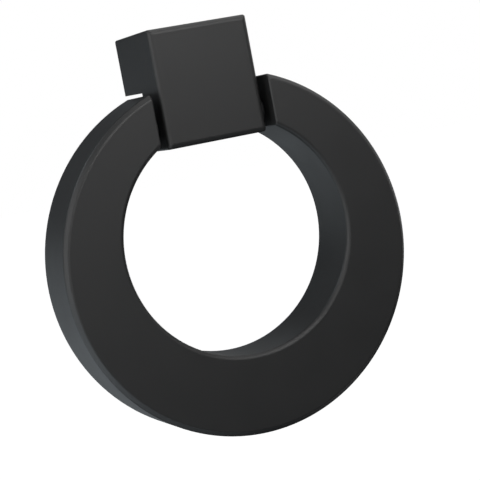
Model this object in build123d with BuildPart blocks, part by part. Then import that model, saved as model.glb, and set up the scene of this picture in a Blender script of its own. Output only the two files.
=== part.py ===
from build123d import *
import os
from math import radians, sqrt, tan

# Ring pull for a cabinet door or drawer. A round ring, open at its top, swings on a pin
# through the nose of a square mounting block, which one machine screw holds to the door.
# Millimetres. The origin is the centre of the block's door face, where the screw enters.
# +Z is up, the door lies at +Y and the front of the pull faces -Y.

# Mounting block: a foot that reaches the door, and a nose that hangs in front
block_width = 17.5
block_depth = 17.2  # door face to front face
foot_height = 9.6
nose_height = 10.0
nose_depth = 8.2
block_front_radius = 0.9  # edges around the front face
block_side_radius = 0.4  # edges that run back from the front corners

# Blind hole for the door screw, at the thread's outer diameter
screw_thread_diameter = 4.0
screw_thread_length = 12.0
screw_mouth_chamfer = 0.3
drill_point_angle = 118.0

# Ring: the finger hole sits above the centre, so the band is widest at the bottom
ring_diameter = 60.0
ring_thickness = 12.0
finger_hole_diameter = 39.0
finger_hole_rise = 2.8
ring_bevel = 0.75  # around the front, on the outside
ring_bevel_radius = 0.5  # softens both edges of the bevel
finger_hole_rim_radius = 0.75  # front rim
ring_end_radius = 0.3  # edges around both ends
ring_back_chamfer = 0.3

# Where the ring hangs on the block
side_gap = 1.45  # block side to ring end
ring_stands_proud = 0.8  # ring front ahead of block front
nose_drop = 3.5  # nose underside below the crown of the finger hole

# Hinge pin: tight in the ring's ends, free to turn in the nose
pin_diameter = 3.0
pin_running_clearance = 0.05
pin_seat_clearance = 0.01
pin_above_crown = 0.2  # pin axis above the crown of the finger hole
pin_seat_wall = 1.5  # metal left between the blind seat and the outside of the ring
pin_recess = 0.4  # pin end below the outside of the ring
pin_end_chamfer = 0.3

# Spacer washers on the pin, one in each side gap
spacer_diameter = 4.2
spacer_end_play = 0.1

# Places that follow from the sizes
block_front = -block_depth
nose_back = block_front + nose_depth
foot_top = foot_height / 2
foot_bottom = -foot_height / 2
nose_bottom = foot_bottom - nose_height
screw_thread_radius = screw_thread_diameter / 2
drill_point = screw_thread_radius / tan(radians(drill_point_angle / 2))

ring_radius = ring_diameter / 2
finger_hole_radius = finger_hole_diameter / 2
ring_front = block_front - ring_stands_proud
ring_back = ring_front + ring_thickness
ring_middle = (ring_front + ring_back) / 2
ring_end = block_width / 2 + side_gap
finger_hole_crown = nose_bottom + nose_drop
finger_hole_height = finger_hole_crown - finger_hole_radius
ring_height = finger_hole_height - finger_hole_rise

pin_radius = pin_diameter / 2
pin_height = finger_hole_crown + pin_above_crown
pin_top_from_ring_centre = pin_height + pin_radius - ring_height
seat_bottom = sqrt((ring_radius - pin_seat_wall) ** 2 - pin_top_from_ring_centre**2)
pin_mouth = sqrt(ring_radius**2 - pin_top_from_ring_centre**2)
pin_left = -seat_bottom + pin_end_chamfer
pin_right = pin_mouth - pin_recess

os.makedirs("parts", exist_ok=True)


# Mounting block, one casting
with BuildPart() as mounting_block:
    with BuildSketch(Plane.YZ.offset(-block_width / 2)):
        with BuildLine():
            Polyline(
                (0, foot_top),
                (0, foot_bottom),
                (nose_back, foot_bottom),
                (nose_back, nose_bottom),
                (block_front, nose_bottom),
                (block_front, foot_top),
                close=True,
            )
        make_face()
    extrude(amount=block_width)
    outer_edges = mounting_block.edges().filter_by(Axis.Y)
    fillet(outer_edges.group_by(Axis.Z)[0] + outer_edges.group_by(Axis.Z)[-1], block_side_radius)
    fillet(mounting_block.faces().sort_by(Axis.Y)[0].edges(), block_front_radius)
    with BuildSketch(Plane.YZ):
        with Locations((ring_middle, pin_height)):
            Circle(pin_radius + pin_running_clearance)
    extrude(amount=block_width, both=True, mode=Mode.SUBTRACT)
    with BuildSketch(Plane.XY):
        with BuildLine():
            Polyline(
                (0, 0),
                (screw_thread_radius + screw_mouth_chamfer, 0),
                (screw_thread_radius, -screw_mouth_chamfer),
                (screw_thread_radius, -screw_thread_length),
                (0, -screw_thread_length - drill_point),
                close=True,
            )
        make_face()
    revolve(axis=Axis.Y, mode=Mode.SUBTRACT)
mounting_block.part.label = "mounting_block"
export_step(mounting_block.part, "parts/mounting_block.step")

# Ring, one casting, open at the top where it straddles the nose
with BuildPart() as ring:
    with BuildSketch(Plane.XZ.offset(-ring_back)):
        with Locations((0, ring_height)):
            Circle(ring_radius)
        with Locations((0, finger_hole_height)):
            Circle(finger_hole_radius, mode=Mode.SUBTRACT)
        with Locations((0, finger_hole_height)):
            Rectangle(2 * ring_end, ring_diameter, align=(Align.CENTER, Align.MIN), mode=Mode.SUBTRACT)
    extrude(amount=ring_thickness)
    front_circles = ring.faces().sort_by(Axis.Y)[0].edges().filter_by(GeomType.CIRCLE)
    finger_hole_rim, outer_rim = front_circles.sort_by(SortBy.RADIUS)
    fillet(finger_hole_rim, finger_hole_rim_radius)
    chamfer(outer_rim, ring_bevel)
    bevel_edges = ring.faces().filter_by(GeomType.CONE).edges()
    fillet(bevel_edges.filter_by(GeomType.CIRCLE), ring_bevel_radius)
    back_face = ring.faces().sort_by(Axis.Y)[-1]
    chamfer(back_face.edges().filter_by(GeomType.CIRCLE), ring_back_chamfer)
    fillet(ring.faces().filter_by(Axis.X).edges(), ring_end_radius)
    with BuildSketch(Plane.YZ.offset(-seat_bottom)):
        with Locations((ring_middle, pin_height)):
            Circle(pin_radius + pin_seat_clearance)
    extrude(amount=seat_bottom + ring_radius, mode=Mode.SUBTRACT)
ring.part.label = "ring"
export_step(ring.part, "parts/ring.step")

# Hinge pin, pushed in from the right until it meets the blind seat in the left end
with BuildPart() as hinge_pin:
    with BuildSketch(Plane.YZ.offset(pin_left)):
        with Locations((ring_middle, pin_height)):
            Circle(pin_radius)
    extrude(amount=pin_right - pin_left)
    chamfer(hinge_pin.edges().filter_by(GeomType.CIRCLE), pin_end_chamfer)
hinge_pin.part.label = "hinge_pin"
export_step(hinge_pin.part, "parts/hinge_pin.step")

# Spacer washers, which keep the ring centred on the nose
for side, inner_face in (("left", -ring_end), ("right", block_width / 2)):
    with BuildPart() as spacer:
        with BuildSketch(Plane.YZ.offset(inner_face + spacer_end_play)):
            with Locations((ring_middle, pin_height)):
                Circle(spacer_diameter / 2)
                Circle(pin_radius + pin_running_clearance, mode=Mode.SUBTRACT)
        extrude(amount=side_gap - 2 * spacer_end_play)
    spacer.part.label = f"{side}_spacer"
    export_step(spacer.part, f"parts/{side}_spacer.step")
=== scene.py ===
import bpy
from math import cos, pi, radians, sin
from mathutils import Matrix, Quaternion, Vector


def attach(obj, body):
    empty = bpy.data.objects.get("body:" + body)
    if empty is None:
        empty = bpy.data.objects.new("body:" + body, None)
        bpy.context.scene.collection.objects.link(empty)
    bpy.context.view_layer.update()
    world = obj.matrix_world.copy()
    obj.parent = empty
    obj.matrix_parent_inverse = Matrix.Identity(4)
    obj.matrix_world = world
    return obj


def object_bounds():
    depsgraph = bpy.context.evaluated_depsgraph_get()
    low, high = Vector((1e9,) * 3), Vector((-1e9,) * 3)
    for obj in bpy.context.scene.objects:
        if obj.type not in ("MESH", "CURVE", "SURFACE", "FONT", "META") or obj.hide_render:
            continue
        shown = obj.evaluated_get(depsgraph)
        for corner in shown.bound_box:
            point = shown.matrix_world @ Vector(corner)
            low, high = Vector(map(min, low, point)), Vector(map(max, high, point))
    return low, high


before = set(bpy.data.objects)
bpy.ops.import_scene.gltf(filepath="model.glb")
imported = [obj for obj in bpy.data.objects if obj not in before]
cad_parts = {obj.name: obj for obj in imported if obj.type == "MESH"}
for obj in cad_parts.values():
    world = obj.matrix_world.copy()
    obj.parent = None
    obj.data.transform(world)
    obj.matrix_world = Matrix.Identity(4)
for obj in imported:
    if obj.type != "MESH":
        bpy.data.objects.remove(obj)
cad_box = [list(corner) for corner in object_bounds()]

MM = 0.001

# The camera, in the frame's directions: azimuth 0 is in front, and looks along +Y
CAMERA_AZIMUTH = -22.51
CAMERA_ELEVATION = 3.75
CAMERA_ROLL = 10.63
CAMERA_DISTANCE = 280.1 * MM
CAMERA_AIM = Vector((10.18, -13.06, -27.21)) * MM
CAMERA_LENS = 124.84
CAMERA_SHIFT = (-0.083, -0.077)  # the photograph is a crop, off the centre of its lens

# The light
FLOOR_DROP = 400 * MM
FLOOR_SIZE = 20.0
ROOM_STRENGTH = 0.052
LAMP_AIM = Vector((0, -9, -30)) * MM
DAYLIGHT = (1.0, 1.0, 1.0)
COOL_DAYLIGHT = (0.85, 0.94, 1.0)
ROOM_TINT = (0.88, 0.94, 1.0)

# The softboxes' kinds, as distance from the pull and side of the square
SMALL_BOX = (250 * MM, 120 * MM)
MEDIUM_BOX = (250 * MM, 200 * MM)
WIDE_BOX = (350 * MM, 300 * MM)
FAR_BOX = (1000 * MM, 400 * MM)

# Where nearly all of a noise's values lie
NOISE_LOW = 0.3
NOISE_HIGH = 0.7

# The M4 thread in the screw hole, in ISO proportions. The CAD bore is as wide as its roots
THREAD_RADIUS = 2.0 * MM
THREAD_PITCH = 0.7 * MM
THREAD_START = 0.6 * MM
THREAD_END = 11.7 * MM
THREAD_HEIGHT = 0.5413 * THREAD_PITCH
THREAD_ROOT_WIDTH = THREAD_PITCH * 7 / 8
THREAD_CREST_WIDTH = THREAD_PITCH / 4
THREAD_BURIED = 0.02 * MM
THREAD_SEGMENTS = 40


def direction(azimuth, elevation):
    """The way from the pull to a point at this azimuth and elevation, in degrees."""
    a, e = radians(azimuth), radians(elevation)
    return Vector((sin(a) * cos(e), -cos(a) * cos(e), sin(e)))


def add_camera():
    """A long lens in front of the pull, a little to its left."""
    back = direction(CAMERA_AZIMUTH, CAMERA_ELEVATION)
    data = bpy.data.cameras.new("camera")
    data.lens = CAMERA_LENS
    data.shift_x, data.shift_y = CAMERA_SHIFT
    data.clip_start = 10 * MM
    camera = bpy.data.objects.new("camera", data)
    bpy.context.scene.collection.objects.link(camera)
    camera.location = CAMERA_AIM + back * CAMERA_DISTANCE
    camera.rotation_mode = "QUATERNION"
    level = (-back).to_track_quat("-Z", "Y")
    camera.rotation_quaternion = level @ Quaternion((0, 0, 1), radians(-CAMERA_ROLL))
    bpy.context.scene.camera = camera


def add_floor():
    """A white light table far below, which throws no light of its own on the pull."""
    bpy.ops.mesh.primitive_plane_add(size=FLOOR_SIZE, location=(0, 0, cad_box[0][2] - FLOOR_DROP))
    floor = bpy.context.object
    floor.name = "floor"
    floor.visible_diffuse = False
    floor.visible_glossy = False
    material = bpy.data.materials.new("pale_floor")
    material.use_nodes = True
    shader = material.node_tree.nodes["Principled BSDF"]
    shader.inputs["Base Color"].default_value = (0.9, 0.9, 0.9, 1)
    shader.inputs["Emission Color"].default_value = (1, 1, 1, 1)
    shader.inputs["Emission Strength"].default_value = 1.0
    floor.data.materials.append(material)


def add_world():
    """A dim even room, behind a white background."""
    world = bpy.data.worlds.new("studio")
    world.use_nodes = True
    nodes, links = world.node_tree.nodes, world.node_tree.links
    room = nodes["Background"]
    room.inputs["Color"].default_value = (*ROOM_TINT, 1)
    room.inputs["Strength"].default_value = ROOM_STRENGTH
    backdrop = nodes.new("ShaderNodeBackground")
    backdrop.inputs["Color"].default_value = (1, 1, 1, 1)
    ray = nodes.new("ShaderNodeLightPath")
    mix = nodes.new("ShaderNodeMixShader")
    links.new(ray.outputs["Is Camera Ray"], mix.inputs["Fac"])
    links.new(room.outputs["Background"], mix.inputs[1])
    links.new(backdrop.outputs["Background"], mix.inputs[2])
    links.new(mix.outputs["Shader"], nodes["World Output"].inputs["Surface"])
    bpy.context.scene.world = world


def add_softbox(name, azimuth, elevation, box, watts, tint=DAYLIGHT):
    """A square lamp that faces the pull from this direction, in degrees."""
    distance, size = box
    data = bpy.data.lights.new(name, "AREA")
    data.shape = "SQUARE"
    data.size = size
    data.energy = watts
    data.color = tint
    lamp = bpy.data.objects.new(name, data)
    bpy.context.scene.collection.objects.link(lamp)
    away = direction(azimuth, elevation)
    lamp.location = LAMP_AIM + away * distance
    lamp.rotation_mode = "QUATERNION"
    lamp.rotation_quaternion = away.to_track_quat("Z", "Y")
    lamp.visible_camera = False


def add_lamps():
    """Softboxes all round, balanced to the photograph's tones.

    The lamps right and right_back are stronger than that balance asks for, so that the right
    side and the back can be read in other views.
    """
    add_softbox("key", 15, 30, SMALL_BOX, 0.28)
    add_softbox("front", -15, 0, SMALL_BOX, 0.066)
    add_softbox("left_front", -60, 15, WIDE_BOX, 0.695)
    add_softbox("left", -90, -28, MEDIUM_BOX, 0.25, COOL_DAYLIGHT)
    add_softbox("left_low", -45, -60, WIDE_BOX, 0.25, COOL_DAYLIGHT)
    add_softbox("left_behind", -120, 40, FAR_BOX, 1.82, COOL_DAYLIGHT)
    add_softbox("right_above", 45, 75, WIDE_BOX, 0.47)
    add_softbox("right_front", 75, 20, WIDE_BOX, 0.15)
    add_softbox("right_high", 120, 45, WIDE_BOX, 0.31)
    add_softbox("right", 100, 0, FAR_BOX, 0.5)
    add_softbox("right_low", 80, -45, FAR_BOX, 1.06)
    add_softbox("right_back", 135, 0, FAR_BOX, 1.4)
    add_softbox("back_left", -135, -15, MEDIUM_BOX, 0.09, COOL_DAYLIGHT)
    add_softbox("back_right", 160, 20, FAR_BOX, 0.14, COOL_DAYLIGHT)
    add_softbox("back_low", 180, -20, FAR_BOX, 0.34, COOL_DAYLIGHT)


def finish_nodes(name):
    """A new material, with its Principled shader."""
    material = bpy.data.materials.new(name)
    material.use_nodes = True
    return material, material.node_tree.nodes["Principled BSDF"]


def object_noise(material, size, stretch=(1, 1, 1), detail=2.0):
    """Noise whose features are about this size on the piece, in metres, times the stretch."""
    nodes, links = material.node_tree.nodes, material.node_tree.links
    place = nodes.new("ShaderNodeTexCoord")
    mapping = nodes.new("ShaderNodeMapping")
    mapping.inputs["Scale"].default_value = [1 / (size * s) for s in stretch]
    noise = nodes.new("ShaderNodeTexNoise")
    noise.inputs["Scale"].default_value = 1.0
    noise.inputs["Detail"].default_value = detail
    links.new(place.outputs["Object"], mapping.inputs["Vector"])
    links.new(mapping.outputs["Vector"], noise.inputs["Vector"])
    return noise.outputs["Fac"]


def vary(material, shader, socket, noise, low, high):
    """Lets the noise move one of the shader's numbers between two values."""
    spread = material.node_tree.nodes.new("ShaderNodeMapRange")
    spread.inputs["From Min"].default_value = NOISE_LOW
    spread.inputs["From Max"].default_value = NOISE_HIGH
    spread.inputs["To Min"].default_value = low
    spread.inputs["To Max"].default_value = high
    material.node_tree.links.new(noise, spread.inputs["Value"])
    material.node_tree.links.new(spread.outputs["Result"], shader.inputs[socket])


def roughen(material, shader, noise, depth):
    """Raises and sinks the surface with the noise, over this depth in metres."""
    bump = material.node_tree.nodes.new("ShaderNodeBump")
    bump.inputs["Distance"].default_value = depth
    material.node_tree.links.new(noise, bump.inputs["Height"])
    material.node_tree.links.new(bump.outputs["Normal"], shader.inputs["Normal"])


def satin_black_paint():
    """Satin powder coat: near black, with a faint orange peel and a slightly uneven sheen."""
    sheen_patch = 6 * MM
    orange_peel = 0.55 * MM
    peel_depth = 0.001 * MM
    material, shader = finish_nodes("satin_black_paint")
    shader.inputs["Base Color"].default_value = (0.0099, 0.0098, 0.0098, 1)
    vary(material, shader, "Roughness", object_noise(material, sheen_patch), 0.48, 0.52)
    roughen(material, shader, object_noise(material, orange_peel), peel_depth)
    return material


def ground_steel():
    """Bright pin stock, with the fine rings that grinding leaves round it."""
    ring_width = 0.08 * MM
    ring_depth = 0.001 * MM
    round_the_pin = (1, 40, 40)
    material, shader = finish_nodes("ground_steel")
    shader.inputs["Base Color"].default_value = (0.56, 0.56, 0.57, 1)
    shader.inputs["Metallic"].default_value = 1.0
    rings = object_noise(material, ring_width, stretch=round_the_pin, detail=4.0)
    vary(material, shader, "Roughness", rings, 0.24, 0.4)
    roughen(material, shader, rings, ring_depth)
    return material


def black_nylon():
    """Moulded nylon: matt black with a fine spark-eroded grain."""
    grain_size = 0.12 * MM
    grain_depth = 0.003 * MM
    material, shader = finish_nodes("black_nylon_matt")
    shader.inputs["Base Color"].default_value = (0.014, 0.014, 0.015, 1)
    grain = object_noise(material, grain_size, detail=3.0)
    vary(material, shader, "Roughness", grain, 0.55, 0.68)
    roughen(material, shader, grain, grain_depth)
    return material


def add_input(tree, name, socket_type, value):
    """A named input of the tree, with its default value."""
    socket = tree.interface.new_socket(name, in_out="INPUT", socket_type=socket_type)
    socket.default_value = value


def thread_tree():
    """A ridge wound down a hole: a trapezoid drawn along a helix that starts at the hole's mouth."""
    tree = bpy.data.node_groups.new("inner_thread", "GeometryNodeTree")
    tree.interface.new_socket("Geometry", in_out="OUTPUT", socket_type="NodeSocketGeometry")
    add_input(tree, "Middle Radius", "NodeSocketFloat", 0.0)
    add_input(tree, "Turns", "NodeSocketFloat", 1.0)
    add_input(tree, "Length", "NodeSocketFloat", 0.0)
    add_input(tree, "Start", "NodeSocketVector", (0, 0, 0))
    add_input(tree, "Ridge Height", "NodeSocketFloat", 0.0)
    add_input(tree, "Root Width", "NodeSocketFloat", 0.0)
    add_input(tree, "Crest Width", "NodeSocketFloat", 0.0)
    add_input(tree, "Segments", "NodeSocketInt", 32)
    add_input(tree, "Finish", "NodeSocketMaterial", None)
    nodes, links = tree.nodes, tree.links
    sizes = nodes.new("NodeGroupInput").outputs
    helix = nodes.new("GeometryNodeCurveSpiral")
    upright = nodes.new("GeometryNodeSetCurveNormal")
    upright.mode = "Z_UP"
    ridge = nodes.new("GeometryNodeCurvePrimitiveQuadrilateral")
    ridge.mode = "TRAPEZOID"
    ridge.inputs["Offset"].default_value = 0.0
    turned_ridge = nodes.new("GeometryNodeTransform")
    turned_ridge.inputs["Rotation"].default_value = (0, 0, pi / 2)
    sweep = nodes.new("GeometryNodeCurveToMesh")
    sweep.inputs["Fill Caps"].default_value = True
    placed = nodes.new("GeometryNodeTransform")
    placed.inputs["Rotation"].default_value = (pi / 2, 0, 0)
    realize = nodes.new("GeometryNodeRealizeInstances")
    finish = nodes.new("GeometryNodeSetMaterial")
    links.new(sizes["Segments"], helix.inputs["Resolution"])
    links.new(sizes["Turns"], helix.inputs["Rotations"])
    links.new(sizes["Middle Radius"], helix.inputs["Start Radius"])
    links.new(sizes["Middle Radius"], helix.inputs["End Radius"])
    links.new(sizes["Length"], helix.inputs["Height"])
    links.new(sizes["Ridge Height"], ridge.inputs["Height"])
    links.new(sizes["Root Width"], ridge.inputs["Bottom Width"])
    links.new(sizes["Crest Width"], ridge.inputs["Top Width"])
    links.new(helix.outputs["Curve"], upright.inputs["Curve"])
    links.new(ridge.outputs["Curve"], turned_ridge.inputs["Geometry"])
    links.new(upright.outputs["Curve"], sweep.inputs["Curve"])
    links.new(turned_ridge.outputs["Geometry"], sweep.inputs["Profile Curve"])
    links.new(sweep.outputs["Mesh"], placed.inputs["Geometry"])
    links.new(sizes["Start"], placed.inputs["Translation"])
    links.new(placed.outputs["Geometry"], realize.inputs["Geometry"])
    links.new(realize.outputs["Geometry"], finish.inputs["Geometry"])
    links.new(sizes["Finish"], finish.inputs["Material"])
    links.new(finish.outputs["Geometry"], nodes.new("NodeGroupOutput").inputs["Geometry"])
    return tree


def plain_mesh(name, tree, values):
    """Runs the tree with these inputs, and keeps what it makes as a plain mesh."""
    holder = bpy.data.objects.new(name, bpy.data.meshes.new(name))
    bpy.context.scene.collection.objects.link(holder)
    modifier = holder.modifiers.new(name, "NODES")
    modifier.node_group = tree
    for item in tree.interface.items_tree:
        if item.name in values:
            modifier[item.identifier] = values[item.name]
    evaluated = holder.evaluated_get(bpy.context.evaluated_depsgraph_get())
    mesh = bpy.data.meshes.new_from_object(evaluated)
    mesh.name = name
    holder.modifiers.remove(modifier)
    holder.data = mesh
    return holder


def screw_thread(finish):
    """The M4 thread in the block, as a ridge that stands on the bore's wall."""
    piece = plain_mesh("screw_thread", thread_tree(), {
        "Middle Radius": THREAD_RADIUS + (THREAD_BURIED - THREAD_HEIGHT) / 2,
        "Turns": (THREAD_END - THREAD_START) / THREAD_PITCH,
        "Length": THREAD_END - THREAD_START,
        "Start": (0, -THREAD_START, 0),
        "Ridge Height": THREAD_HEIGHT + THREAD_BURIED,
        "Root Width": THREAD_ROOT_WIDTH,
        "Crest Width": THREAD_CREST_WIDTH,
        "Segments": THREAD_SEGMENTS,
        "Finish": finish,
    })
    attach(piece, "block")


def dress(node, material):
    """Puts the material on all of a CAD node."""
    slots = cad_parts[node].data.materials
    slots.clear()
    slots.append(material)


add_camera()
add_floor()
add_world()
add_lamps()
bpy.context.scene.view_settings.view_transform = "Standard"

black = satin_black_paint()
nylon = black_nylon()
dress("mounting_block", black)
dress("ring", black)
dress("hinge_pin", ground_steel())
dress("left_spacer", nylon)
dress("right_spacer", nylon)
screw_thread(black)
